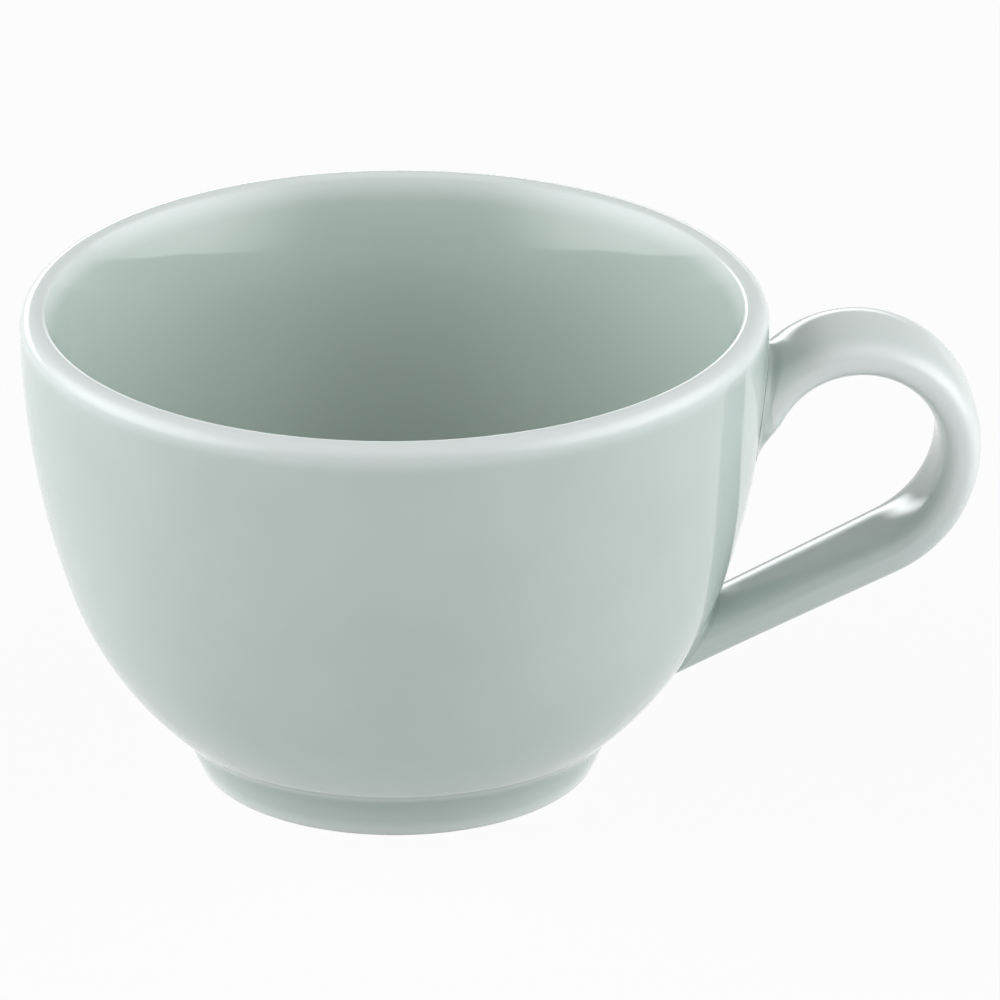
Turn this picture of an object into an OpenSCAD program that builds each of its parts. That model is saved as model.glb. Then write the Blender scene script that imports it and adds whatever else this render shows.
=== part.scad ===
// Cappuccino cup in glazed stoneware: a thrown bowl on a turned foot ring, with a strap
// handle luted on at two joints. Millimetres, +Z up. The origin is on the bowl's axis, in
// the plane that the foot stands on, and the handle points along +X.

/* [Bowl] */
// Outer diameter at the rim
rim_d = 100; // [90:1:116]
// Height of the rim above the table
cup_h = 66; // [58:1:80]
// Thickness of the wall
wall_t = 6.8; // [5.4:0.1:7.6]
// Thickness of the floor above the foot
floor_t = 6.2; // [4.6:0.1:7.6]
// Radius of the lip's outer shoulder
lip_out_r = 2.4; // [1.8:0.1:3]
// Radius of the lip's inner edge
lip_in_r = 1.2; // [0.8:0.1:1.6]
// Radius with which the inside flares out to the lip
flare_r = 58; // [48:1:68]
// Height at which the steep upper wall turns into the round belly
turn_h = 28; // [24:0.5:32]
// How far the outside of the wall has drawn in at that height
draw_in = 5.6; // [4:0.1:7]

/* [Foot] */
// Diameter of the fine edge where the belly ends
edge_d = 63.2; // [60:0.2:66]
// Height of that edge above the table
edge_h = 8; // [7:0.1:10]
// Outer diameter of the foot where it joins the bowl
foot_top_d = 57.2; // [54:0.2:59]
// Outer diameter of the foot at the table, before its edge is rounded
foot_base_d = 53.4; // [50:0.2:55]
// Height of the foot ring
foot_h = 4.4; // [3.4:0.1:5.4]
// Width of the foot ring at the table, before its edges are rounded
foot_base_w = 3.6; // [2.8:0.1:5]
// Width of the foot ring where it joins the bowl
foot_top_w = 6; // [4:0.1:8]
// Radius on the two lower edges of the foot ring
foot_edge_r = 0.6; // [0.4:0.1:1]

/* [Handle] */
// Thickness of the strap
strap_t = 5.9; // [4.6:0.1:7]
// Width of the strap over its loop
strap_w = 16.4; // [12:0.2:19]
// Width of the strap at its lower end
strap_low_w = 13.4; // [10:0.2:16]
// How far the strap's middle line reaches past the rim
loop_out = 25.6; // [23:0.2:30]
// Depth of the loop's centre below the rim
loop_drop = 21.1; // [19:0.2:24]
// Radius of the loop, on the strap's middle line
loop_r = 13.8; // [12.4:0.2:15]
// Radius of the lower bend, on the strap's middle line
bend_r = 17; // [14:0.5:21]
// How far above the fine edge the underside of the straight arm meets the wall
arm_up = 2.9; // [2.4:0.1:4]
// Radius with which the upper end turns up out of the wall
root_r = 8; // [6:0.5:11]
// Slope of the upper end inside the wall, in degrees
root_slope = 30; // [20:1:45]
// Slope at which the upper end runs into the loop, in degrees
loop_slope = 62; // [56:1:70]

/* [Joints] */
// Leg of the fillet of slip round each end of the handle
slip_leg = 2.4; // [1.4:0.1:3]

/* [Hidden] */

$fn = 128;

glaze = "#bfcbc6";

// Steps along an arc of an outline
arc_steps = 16;
// Points round the strap, steps along it and rings inside each end face
strap_points = 36;
strap_steps = 48;
end_rings = 4;
// Steps over the hollow of a fillet, and along its leg on the strap
slip_steps = 6;
leg_steps = 3;
// Halvings used to find where a line of the strap meets the wall
halvings = 22;
// How square the strap's section is: 2 is an ellipse, and more is squarer
section_power = 2.8;

// Lip: two round edges that meet on top
rim_r = rim_d / 2;
lip_z = cup_h - lip_out_r;
lip_out_c = [rim_r - lip_out_r, lip_z];
lip_in_c = [rim_r - lip_out_r, cup_h - lip_in_r];
lip_top = [rim_r - lip_out_r, cup_h];

// Outer wall: the upper arc leaves the lip upright and has drawn in by draw_in at turn_h
upper_rise = lip_z - turn_h;
upper_r = (draw_in * draw_in + upper_rise * upper_rise) / (2 * draw_in);
upper_c = [rim_r - upper_r, lip_z];
turn_a = asin(upper_rise / upper_r);
turn_n = [cos(turn_a), -sin(turn_a)];
turn_p = upper_c + upper_r * turn_n;

// Belly: an arc that carries on smoothly from the turn and ends on the fine edge
edge_p = [edge_d / 2, edge_h];
belly_c = square_centre(turn_p, turn_n, edge_p);
belly_r = norm(edge_p - belly_c);
belly_side = sign(edge_p.x - belly_c.x);

// Cove: a hollow that carries on from the foot's sloping side, out to the fine edge
foot_top = [foot_top_d / 2, foot_h];
foot_base = [foot_base_d / 2, 0];
foot_lean = unit(foot_top - foot_base);
cove_c = foot_top + foot_lean * norm(edge_p - foot_top) / 2;

// Inside: an arc flares out from the wall's inside to the lip's inner edge
inner_upper_r = upper_r - wall_t;
flare_c = crossing(upper_c, inner_upper_r + flare_r, lip_in_c, flare_r - lip_in_r);
flare_top = flare_c + flare_r * unit(lip_in_c - flare_c);
flare_end = upper_c + inner_upper_r * unit(flare_c - upper_c);

// Below it the wall keeps its thickness down to the turn, then one arc runs out to the floor
floor_z = foot_h + floor_t;
inner_turn = turn_p - wall_t * turn_n;
inner_r = (inner_turn.y - floor_z) / (1 - sin(turn_a));
inner_c = inner_turn - inner_r * turn_n;

// Middle line of the strap, in the plane of the handle: a straight lead inside the wall, the
// root arc, the loop, the lower bend and the arm. It is measured by its length from the start.
loop_c = [rim_r + loop_out - loop_r, cup_h - loop_drop];
loop_start = loop_c + loop_r * [-sin(loop_slope), cos(loop_slope)];
root_c = loop_start + root_r * [-sin(loop_slope), cos(loop_slope)];
root_start = root_c + root_r * [sin(root_slope), -cos(root_slope)];
bend_c = loop_c + [loop_r - bend_r, 0];

// The arm's underside runs straight from the bend to where it lands on the wall
land_h = edge_h + arm_up;
land_p = [wall_r(land_h), land_h];
under_r = bend_r + strap_t / 2;
arm_slope = angle_of(bend_c - land_p) - asin(under_r / norm(bend_c - land_p));
arm_start = bend_c + bend_r * [sin(arm_slope), -cos(arm_slope)];

// Length of each stretch, where the lead is as long as the strap is wide
lead_l = strap_w;
root_l = arc_length(root_r, loop_slope - root_slope);
loop_l = arc_length(loop_r, loop_slope + 90);
bend_l = arc_length(bend_r, 90 - arm_slope);
arm_l = sqrt(pow(norm(bend_c - land_p), 2) - pow(under_r, 2));

// Where each stretch starts, the arm lands on the wall, and the strap has narrowed
root_t = lead_l;
loop_t = root_t + root_l;
side_t = loop_t + loop_l;
arm_t = side_t + bend_l;
land_t = arm_t + arm_l;
end_t = land_t + strap_low_w;
narrow_t = land_t - strap_low_w / 2;
// A place on the loop that is clear of the wall on every side of the strap
clear_t = loop_t + loop_l / 2;

function arc_length(r, angle) = PI * r * angle / 180;
function turned(r, length) = 180 * length / (PI * r);
function angle_of(v) = atan2(v.y, v.x);
function unit(v) = v / norm(v);
function arc(c, r, from, to, steps = arc_steps) =
    [for (i = [0 : steps]) let (a = from + (to - from) * i / steps) c + r * [cos(a), sin(a)]];

// Lower crossing of the circle of radius r round c with the circle of radius s round d
function crossing(c, r, d, s) =
    let (
        way = unit(d - c),
        along = (r * r - s * s + (d - c) * (d - c)) / (2 * norm(d - c))
    )
    c + along * way + sqrt(r * r - along * along) * [way.y, -way.x];

// Centre of the arc that leaves p square to the direction n and runs through q
function square_centre(p, n, q) = p + n * ((q - p) * (q - p)) / (2 * (q - p) * n);

// Curve from p to q that leaves p and reaches q in line with a third point c
function hollow(p, c, q) =
    [for (i = [0 : arc_steps]) let (s = i / arc_steps)
        (1 - s) * (1 - s) * p + 2 * s * (1 - s) * c + s * s * q];

// Arc round a centre from p the short way to q
function arc_to(c, p, q, steps = arc_steps) =
    let (
        from = angle_of(p - c),
        sweep = angle_of(q - c) - from,
        short = sweep > 180 ? sweep - 360 : sweep < -180 ? sweep + 360 : sweep
    )
    arc(c, norm(p - c), from, from + short, steps);

// Points that round the corner p between the points before and after it
function rounded(before, p, after, r, steps = arc_steps / 2) =
    let (
        u = unit(before - p),
        v = unit(after - p),
        half = acos(u * v) / 2,
        c = p + unit(u + v) * r / sin(half)
    )
    arc_to(c, p + u * r / tan(half), p + v * r / tan(half), steps);

// Outside radius of the bowl at a height on its wall
function wall_r(z) =
    z > lip_z ? lip_out_c.x + sqrt(max(0, lip_out_r * lip_out_r - pow(z - lip_z, 2)))
    : z > turn_h ? upper_c.x + sqrt(upper_r * upper_r - pow(z - upper_c.y, 2))
    : belly_c.x + belly_side * sqrt(max(0, belly_r * belly_r - pow(z - belly_c.y, 2)));

// Place and heading of the middle line at a length t along it: [x, z, heading]
function middle(t) =
    t < root_t ? along_line(root_start, root_slope, t - root_t)
    : t < loop_t ? along_arc(root_c, root_r, root_slope, turned(root_r, t - root_t))
    : t < side_t ? along_arc(loop_c, -loop_r, loop_slope, -turned(loop_r, t - loop_t))
    : t < arm_t ? along_arc(bend_c, -bend_r, -90, -turned(bend_r, t - side_t))
    : along_line(arm_start, arm_slope - 180, t - arm_t);
function along_line(p, heading, d) = [p.x + d * cos(heading), p.y + d * sin(heading), heading];
function along_arc(c, r, heading, turn) =
    let (h = heading + turn) [c.x + r * sin(h), c.y - r * cos(h), h];

// Half the width of the strap at a length t along it
function half_width(t) =
    let (s = max(0, min(1, (t - side_t) / (narrow_t - side_t))),
        ease = s * s * (3 - 2 * s))
    (strap_w + (strap_low_w - strap_w) * ease) / 2;

// A point of the strap: a is the angle round its section, grow thickens the section, and
// size shrinks it towards the middle line
function strap_point(t, a, grow = 0, size = 1) =
    let (
        m = middle(t),
        k = size * pow(pow(abs(cos(a)), section_power) + pow(abs(sin(a)), section_power),
            -1 / section_power),
        out = k * cos(a) * (strap_t / 2 + grow),
        side = k * sin(a) * (half_width(t) + grow)
    )
    [m[0] - out * sin(m[2]), side, m[1] + out * cos(m[2])];

// How far a point lies outside the bowl
function outside(p) = norm([p.x, p.y]) - wall_r(p.z);

// A point near the wall, moved straight in or out onto it
function to_wall(p) = let (k = wall_r(p.z) / norm([p.x, p.y])) [k * p.x, k * p.y, p.z];

// Length at which the line of points at angle a leaves the wall, between t_in and t_out
function meets(a, t_in, t_out, grow = 0, size = 1, left = halvings) =
    let (t = (t_in + t_out) / 2)
    left == 0 ? t
    : outside(strap_point(t, a, grow, size)) > 0 ? meets(a, t_in, t, grow, size, left - 1)
    : meets(a, t, t_out, grow, size, left - 1);
function meets_top(a, grow = 0, size = 1) = meets(a, 0, clear_t, grow, size);
function meets_low(a, grow = 0, size = 1) = meets(a, end_t, side_t, grow, size);

function section_angle(j) = 360 * j / strap_points;

// Quads between neighbouring rings of n points, split into triangles
function skin(rings, n) =
    [for (i = [0 : rings - 2]) for (j = [0 : n - 1])
        let (k = (j + 1) % n, a = i * n + j, b = i * n + k, c = a + n, d = b + n)
        each [[a, b, c], [b, d, c]]];

// The hollow ring of slip at one end of the strap. Each slice has its corner on the seam,
// one leg along the strap and one along the wall. From leg to leg runs a hollow curve,
// which is the strap's own line lifted more and more along the wall.
module slip_ring(at_top) {
    n = leg_steps + slip_steps + 1;
    leg = at_top ? slip_leg : -slip_leg;
    slices = [for (j = [0 : strap_points - 1])
        let (
            a = section_angle(j),
            seam_t = at_top ? meets_top(a) : meets_low(a),
            wide_t = at_top ? meets_top(a, slip_leg) : meets_low(a, slip_leg),
            seam = strap_point(seam_t, a),
            away = strap_point(wide_t, a, slip_leg) - seam,
            lift = to_wall(seam + slip_leg * unit(away)) - seam
        )
        each concat(
            [for (i = [0 : leg_steps - 1]) strap_point(seam_t + leg * i / leg_steps, a)],
            [for (i = [0 : slip_steps]) let (s = i / slip_steps)
                strap_point(seam_t + leg * (1 - s) * (1 - s), a) + s * s * lift]
        )];
    faces = [for (j = [0 : strap_points - 1]) for (i = [0 : n - 1])
        let (m = (j + 1) % strap_points, k = (i + 1) % n,
            a = j * n + i, b = j * n + k, c = m * n + i, d = m * n + k)
        each (at_top ? [[a, b, c], [b, d, c]] : [[a, c, b], [b, c, d]])];
    polyhedron(slices, faces);
}

module bowl() {
    outline = concat(
        [[0, foot_h]],
        hollow(foot_top, cove_c, edge_p),
        arc_to(belly_c, edge_p, turn_p),
        arc_to(upper_c, turn_p, [rim_r, lip_z]),
        arc_to(lip_out_c, [rim_r, lip_z], lip_top),
        arc_to(lip_in_c, lip_top, flare_top),
        arc_to(flare_c, flare_top, flare_end),
        arc_to(upper_c, flare_end, inner_turn),
        arc_to(inner_c, inner_turn, [inner_c.x, floor_z]),
        [[0, floor_z]]
    );
    color(glaze) rotate_extrude() polygon(outline);
}

module foot_ring() {
    inner_base = [foot_base_d / 2 - foot_base_w, 0];
    inner_top = [foot_top_d / 2 - foot_top_w, foot_h];
    outline = concat(
        [foot_top, inner_top],
        rounded(inner_top, inner_base, foot_base, foot_edge_r),
        rounded(inner_base, foot_base, foot_top, foot_edge_r)
    );
    color(glaze) rotate_extrude() polygon(outline);
}

module handle() {
    angles = [for (j = [0 : strap_points - 1]) section_angle(j)];
    top_end = [for (i = [1 : end_rings - 1]) for (a = angles)
        let (size = i / end_rings) strap_point(meets_top(a, 0, size), a, 0, size)];
    low_end = [for (i = [end_rings - 1 : -1 : 1]) for (a = angles)
        let (size = i / end_rings) strap_point(meets_low(a, 0, size), a, 0, size)];
    starts = [for (a = angles) meets_top(a)];
    ends = [for (a = angles) meets_low(a)];
    strap = [for (i = [0 : strap_steps]) for (j = [0 : strap_points - 1])
        let (t = starts[j] + (ends[j] - starts[j]) * i / strap_steps)
        strap_point(t, angles[j])];
    tips = [strap_point(meets_top(0, 0, 0), 0, 0, 0), strap_point(meets_low(0, 0, 0), 0, 0, 0)];
    rings = strap_steps + 1 + 2 * (end_rings - 1);
    first_tip = rings * strap_points;
    last = first_tip - strap_points;
    caps = [for (j = [0 : strap_points - 1])
        let (k = (j + 1) % strap_points)
        each [[first_tip, k, j], [first_tip + 1, last + j, last + k]]];
    color(glaze) polyhedron(concat(top_end, strap, low_end, tips),
        concat(skin(rings, strap_points), caps));
}

module upper_slip_joint() {
    color(glaze) slip_ring(true);
}

module lower_slip_joint() {
    color(glaze) slip_ring(false);
}

bowl();
foot_ring();
handle();
upper_slip_joint();
lower_slip_joint();
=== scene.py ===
"""A glazed cappuccino cup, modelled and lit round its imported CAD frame.

Its sizes and colours are property groups. One operator models each piece, or the pair of slip
joints, and one sets up the stage. Lengths are metres. +Z is up and the handle points along +X.
"""

import math

import bmesh
import bpy
from mathutils import Matrix, Vector


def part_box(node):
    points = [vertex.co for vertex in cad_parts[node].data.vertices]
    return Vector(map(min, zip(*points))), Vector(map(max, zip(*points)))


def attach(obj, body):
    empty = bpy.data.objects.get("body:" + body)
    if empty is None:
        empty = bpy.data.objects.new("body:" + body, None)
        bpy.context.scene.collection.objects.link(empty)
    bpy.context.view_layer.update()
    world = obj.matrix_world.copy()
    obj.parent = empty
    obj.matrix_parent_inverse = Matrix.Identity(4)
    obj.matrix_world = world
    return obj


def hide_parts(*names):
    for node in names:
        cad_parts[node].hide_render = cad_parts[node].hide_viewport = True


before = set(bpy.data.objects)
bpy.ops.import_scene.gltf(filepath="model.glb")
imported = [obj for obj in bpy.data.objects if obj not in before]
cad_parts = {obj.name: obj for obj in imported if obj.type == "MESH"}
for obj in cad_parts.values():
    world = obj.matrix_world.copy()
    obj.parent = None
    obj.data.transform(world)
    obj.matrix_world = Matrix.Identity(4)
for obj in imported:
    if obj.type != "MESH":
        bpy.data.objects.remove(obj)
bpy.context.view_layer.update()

bl_info = {
    "name": "Glazed Cup",
    "version": (1, 0, 0),
    "blender": (4, 5, 0),
    "location": "3D View > Sidebar > Cup",
    "description": "Models a glazed cup with a foot ring and a strap handle round its CAD frame",
    "category": "Add Mesh",
}

MM = 0.001

BOWL_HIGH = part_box("bowl")[1]
FOOT_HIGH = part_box("foot_ring")[1]
HANDLE_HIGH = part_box("handle")[1]

# Steps round the cup's axis, facets along one degree of an outline's arc and on its least arc
AROUND = 192
FACETS_PER_DEGREE = 0.4
LEAST_FACETS = 4
# Steps along a hollow curve
HOLLOW_STEPS = 16
# Points nearer than this are one point, and those nearer to a ring than this lie on it
WELD = 0.001 * MM
ON_RING = 0.05 * MM
# Segments of a rounded edge
ROUND_SEGMENTS = 6
# Edges that turn more sharply than this stay sharp
SHARP = math.radians(40)
# Times that a stretch is halved to find where the strap leaves the wall
HALVINGS = 40


def linear(code):
    """The linear colour of an sRGB hex code."""
    channels = [int(code[i : i + 2], 16) / 255 for i in (1, 3, 5)]
    return [c / 12.92 if c <= 0.04045 else ((c + 0.055) / 1.055) ** 2.4 for c in channels]


def length(name, description, millimetres):
    """A length that the user may change, whose default is in millimetres."""
    return bpy.props.FloatProperty(
        name=name,
        description=description,
        default=millimetres * MM,
        min=0,
        unit="LENGTH",
        subtype="DISTANCE",
        precision=4,
    )


def angle(name, description, degrees):
    """An angle that the user may change, whose default is in degrees."""
    return bpy.props.FloatProperty(
        name=name, description=description, default=math.radians(degrees), subtype="ANGLE"
    )


def colour(name, description, code):
    """A colour that the user may change, whose default is an sRGB hex code."""
    return bpy.props.FloatVectorProperty(
        name=name,
        description=description,
        default=linear(code),
        min=0,
        max=1,
        subtype="COLOR",
    )


class CupBowlSizes(bpy.types.PropertyGroup):
    """Sizes of the bowl."""

    rim: length("Rim Radius", "Outer radius at the rim", BOWL_HIGH.x / MM)
    height: length("Height", "Height of the rim above the table", BOWL_HIGH.z / MM)
    wall: length("Wall", "Thickness of the wall", 6.8)
    floor: length("Floor", "Thickness of the floor above the foot", 6.2)
    lip_outer: length("Lip Shoulder", "Radius of the lip's outer shoulder", 2.4)
    lip_inner: length("Lip Inner Edge", "Radius of the lip's inner edge", 1.2)
    flare: length("Flare", "Radius with which the inside flares out to the lip", 58)
    turn: length("Turn Height", "Height where the steep wall turns into the belly", 28)
    draw_in: length("Draw-in", "How far the wall has drawn in at the turn", 5.6)
    edge_radius: length("Edge Radius", "Radius of the fine edge that ends the belly", 31.6)
    edge_height: length("Edge Height", "Height of the fine edge above the table", 8)
    edge_round: length("Edge Rounding", "How far the glaze rounds off the fine edge", 0.45)


class CupFootSizes(bpy.types.PropertyGroup):
    """Sizes of the foot ring."""

    top_radius: length("Top Radius", "Radius where the foot joins the bowl", FOOT_HIGH.x / MM)
    height: length("Height", "Height of the foot ring", FOOT_HIGH.z / MM)
    base_radius: length("Base Radius", "Outer radius at the table", 26.7)
    base_width: length("Base Width", "Width of the ring at the table", 3.6)
    top_width: length("Top Width", "Width of the ring where it joins the bowl", 6)
    edge_round: length("Edge Rounding", "Rounding of the two lower edges", 0.6)
    well_round: length("Well Rounding", "Radius of the hollow where the ring meets the bowl", 1.5)
    bare_height: length("Bare Height", "Height up to which the glaze is wiped off", 0.35)


class CupHandleSizes(bpy.types.PropertyGroup):
    """Sizes of the handle."""

    reach: length("Reach", "How far the strap reaches out from the axis", HANDLE_HIGH.x / MM)
    thickness: length("Thickness", "Thickness of the strap", 5.9)
    width: length("Width", "Width of the strap over its loop", 16.4)
    low_width: length("Lower Width", "Width of the strap at its lower end", 13.4)
    loop_drop: length("Loop Drop", "Depth of the loop's centre below the rim", 21.1)
    loop_radius: length("Loop Radius", "Radius of the loop on its middle line", 13.8)
    bend_radius: length("Bend Radius", "Radius of the lower bend on its middle line", 17)
    arm_up: length("Arm Height", "Height of the arm's underside at the wall, above the edge", 2.9)
    root_radius: length("Root Radius", "Radius with which the upper end leaves the wall", 8)
    root_slope: angle("Root Slope", "Slope of the upper end inside the wall", 30)
    loop_slope: angle("Loop Slope", "Slope at which the upper end runs into the loop", 62)
    fullness: bpy.props.FloatProperty(
        name="Fullness",
        description="How square the strap's section is: 2 is an ellipse and more is squarer",
        default=2.8,
        min=2,
        max=6,
    )


class CupSlipSizes(bpy.types.PropertyGroup):
    """Sizes of the fillets of slip at the two ends of the handle."""

    leg: length("Leg", "Leg of the fillet, along the strap and along the wall", 2.4)


class CupColours(bpy.types.PropertyGroup):
    """Colours of the cup."""

    glaze: colour("Glaze", "Celadon glaze at its usual thickness", "#bfcbc6")
    inside: colour("Inside Glaze", "The thicker glaze that is poured inside", "#bbc8c1")
    # The thin colour is thin glaze and also painted highlight and painted light on the lip, the fine
    # edge, the strap and the foot
    thin_and_lit: colour("Thin Glaze", "The glaze where it runs thin, over the lip and edges", "#eef1f0")
    # The pooled colour is glaze pooled in hollows and clouds, and also painted shade in the cove and
    # at the slip joints
    pooled_and_shaded: colour("Pooled Glaze", "The glaze where it gathers, in hollows", "#a0b0a9")
    clay: colour("Bare Clay", "The fired body where the foot is wiped bare", "#d9d2c4")


class CupStageSettings(bpy.types.PropertyGroup):
    """Settings of the floor, the lamps and the camera."""

    floor: colour("Floor", "The pale floor", "#dcdcdc")
    cloth: colour("Cloth", "The light through the soft boxes' cloth", "#fafdff")
    lamps: bpy.props.FloatProperty(
        name="Lamps", description="Factor on the power of all lamps", default=1, min=0
    )


class CupSettings(bpy.types.PropertyGroup):
    """All settings of the cup."""

    bowl: bpy.props.PointerProperty(type=CupBowlSizes, name="Bowl")
    foot: bpy.props.PointerProperty(type=CupFootSizes, name="Foot Ring")
    handle: bpy.props.PointerProperty(type=CupHandleSizes, name="Handle")
    slip: bpy.props.PointerProperty(type=CupSlipSizes, name="Slip Joints")
    colours: bpy.props.PointerProperty(type=CupColours, name="Colours")
    stage: bpy.props.PointerProperty(type=CupStageSettings, name="Stage")


def heading(way):
    """The unit step in the plane of X and Z along an angle in radians."""
    return Vector((math.cos(way), math.sin(way)))


def in_plane(place):
    """The point of the plane through the axis and the handle at (x, z)."""
    return Vector((place[0], 0, place[1]))


def lower_crossing(centre, radius, other, other_radius):
    """The lower of the two places where two circles cross."""
    way = other - centre
    apart = way.length
    way = way.normalized()
    along = (radius**2 - other_radius**2 + apart**2) / (2 * apart)
    down = math.sqrt(radius**2 - along**2)
    return centre + along * way + down * Vector((way.y, -way.x))


class Wall:
    """The arcs of the bowl's outline, worked out from its sizes."""

    def __init__(self, bowl, foot):
        self.lip_radius = bowl.lip_outer
        self.lip_height = bowl.height - self.lip_radius
        self.lip_centre = Vector((bowl.rim - self.lip_radius, self.lip_height))
        self.lip_top = Vector((self.lip_centre.x, bowl.height))
        self.lip_inner = Vector((self.lip_centre.x, bowl.height - bowl.lip_inner))
        rise = self.lip_height - bowl.turn
        self.upper_radius = (bowl.draw_in**2 + rise**2) / (2 * bowl.draw_in)
        self.upper_centre = Vector((bowl.rim - self.upper_radius, self.lip_height))
        turn_out = heading(-math.asin(rise / self.upper_radius))
        self.turn = self.upper_centre + self.upper_radius * turn_out
        self.edge = Vector((bowl.edge_radius, bowl.edge_height))
        chord = self.edge - self.turn
        self.belly_radius = -chord.dot(chord) / (2 * chord.dot(turn_out))
        self.belly_centre = self.turn - self.belly_radius * turn_out
        self.foot_top = Vector((foot.top_radius, foot.height))
        lean = (self.foot_top - Vector((foot.base_radius, 0))).normalized()
        self.cove_control = self.foot_top + (self.edge - self.foot_top).length / 2 * lean
        # The flare touches the wall's inside and the lip's inner edge
        inner_upper = self.upper_radius - bowl.wall
        self.flare_centre = lower_crossing(
            self.upper_centre, inner_upper + bowl.flare, self.lip_inner, bowl.flare - bowl.lip_inner
        )
        to_lip = (self.lip_inner - self.flare_centre).normalized()
        self.flare_top = self.flare_centre + bowl.flare * to_lip
        out = (self.flare_centre - self.upper_centre).normalized()
        self.flare_end = self.upper_centre + inner_upper * out
        self.inner_turn = self.turn - bowl.wall * turn_out
        self.floor_height = foot.height + bowl.floor
        inner_radius = (self.inner_turn.y - self.floor_height) / (1 + turn_out.y)
        self.inner_centre = self.inner_turn - inner_radius * turn_out
        self.floor_edge = Vector((self.inner_centre.x, self.floor_height))

    def radius(self, height):
        """Outside radius of the bowl at a height on its wall."""
        if height > self.lip_height:
            rise = min(height - self.lip_height, self.lip_radius)
            return self.lip_centre.x + math.sqrt(self.lip_radius**2 - rise**2)
        centre, radius = self.upper_centre, self.upper_radius
        if height < self.turn.y:
            centre, radius = self.belly_centre, self.belly_radius
        return centre.x + math.sqrt(max(0, radius**2 - (height - centre.y) ** 2))

    def outside(self, place):
        """How far a point lies outside the wall."""
        return place.xy.length - self.radius(place.z)

    def nearest(self, place):
        """A point near the wall, moved straight in or out onto it."""
        grown = self.radius(place.z) / place.xy.length
        return Vector((grown * place.x, grown * place.y, place.z))


class Strap:
    """The middle line and the section of the handle, measured by length from the upper end."""

    def __init__(self, wall, handle):
        self.handle = handle
        loop_r, bend_r, root_r = handle.loop_radius, handle.bend_radius, handle.root_radius
        loop_out = handle.reach - handle.thickness / 2 - loop_r
        rim_height = wall.lip_height + wall.lip_radius
        self.loop_centre = Vector((loop_out, rim_height - handle.loop_drop))
        outward = heading(handle.loop_slope + math.pi / 2)
        loop_start = self.loop_centre + loop_r * outward
        self.root_centre = loop_start + root_r * outward
        root_start = self.root_centre - root_r * heading(handle.root_slope + math.pi / 2)
        self.lead_start = root_start - handle.width * heading(handle.root_slope)
        self.bend_centre = self.loop_centre + Vector((loop_r - bend_r, 0))
        # The arm's underside is a line that leaves the bend and lands on the wall
        landing_height = wall.edge.y + handle.arm_up
        landing = Vector((wall.radius(landing_height), landing_height))
        to_bend = self.bend_centre - landing
        under_r = bend_r + handle.thickness / 2
        rise = math.asin(under_r / to_bend.length)
        self.arm_slope = math.atan2(to_bend.y, to_bend.x) - rise
        self.arm_start = self.bend_centre + bend_r * heading(self.arm_slope - math.pi / 2)
        self.root_at = handle.width
        self.loop_at = self.root_at + root_r * (handle.loop_slope - handle.root_slope)
        self.side_at = self.loop_at + loop_r * (handle.loop_slope + math.pi / 2)
        self.arm_at = self.side_at + bend_r * (math.pi / 2 - self.arm_slope)
        landing_at = self.arm_at + to_bend.length * math.cos(rise)
        self.end = landing_at + handle.low_width
        self.narrow_end = landing_at - handle.low_width / 2
        # A place on the loop where the strap is clear of the wall all round
        self.clear = (self.loop_at + self.side_at) / 2

    def middle(self, at):
        """The place in the plane and the heading of the middle line at a length along it."""
        h = self.handle
        if at < self.root_at:
            return self.lead_start + at * heading(h.root_slope), h.root_slope
        if at < self.loop_at:
            way = h.root_slope + (at - self.root_at) / h.root_radius
            return self.root_centre - h.root_radius * heading(way + math.pi / 2), way
        if at < self.side_at:
            way = h.loop_slope - (at - self.loop_at) / h.loop_radius
            return self.loop_centre + h.loop_radius * heading(way + math.pi / 2), way
        if at < self.arm_at:
            way = -math.pi / 2 - (at - self.side_at) / h.bend_radius
            return self.bend_centre + h.bend_radius * heading(way + math.pi / 2), way
        way = self.arm_slope - math.pi
        return self.arm_start + (at - self.arm_at) * heading(way), way

    def half_width(self, at):
        """Half the width of the strap, which narrows smoothly from the loop's side to its end."""
        part = min(1, max(0, (at - self.side_at) / (self.narrow_end - self.side_at)))
        eased = part * part * (3 - 2 * part)
        return (self.handle.width + (self.handle.low_width - self.handle.width) * eased) / 2

    def point(self, at, turn, grow=0):
        """The point at an angle round the section, which grow makes thicker on all sides."""
        place, way = self.middle(at)
        c, s = math.cos(turn), math.sin(turn)
        power = self.handle.fullness
        full = (abs(c) ** power + abs(s) ** power) ** (-1 / power)
        place = place + full * c * (self.handle.thickness / 2 + grow) * heading(way + math.pi / 2)
        return Vector((place.x, full * s * (self.half_width(at) + grow), place.y))

    def meets(self, wall, turn, upper, grow=0):
        """Length at which the line of points at one angle leaves the wall."""
        inside, clear = (0, self.clear) if upper else (self.end, self.side_at)
        for _ in range(HALVINGS):
            at = (inside + clear) / 2
            if wall.outside(self.point(at, turn, grow)) > 0:
                clear = at
            else:
                inside = at
        return (inside + clear) / 2


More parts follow.
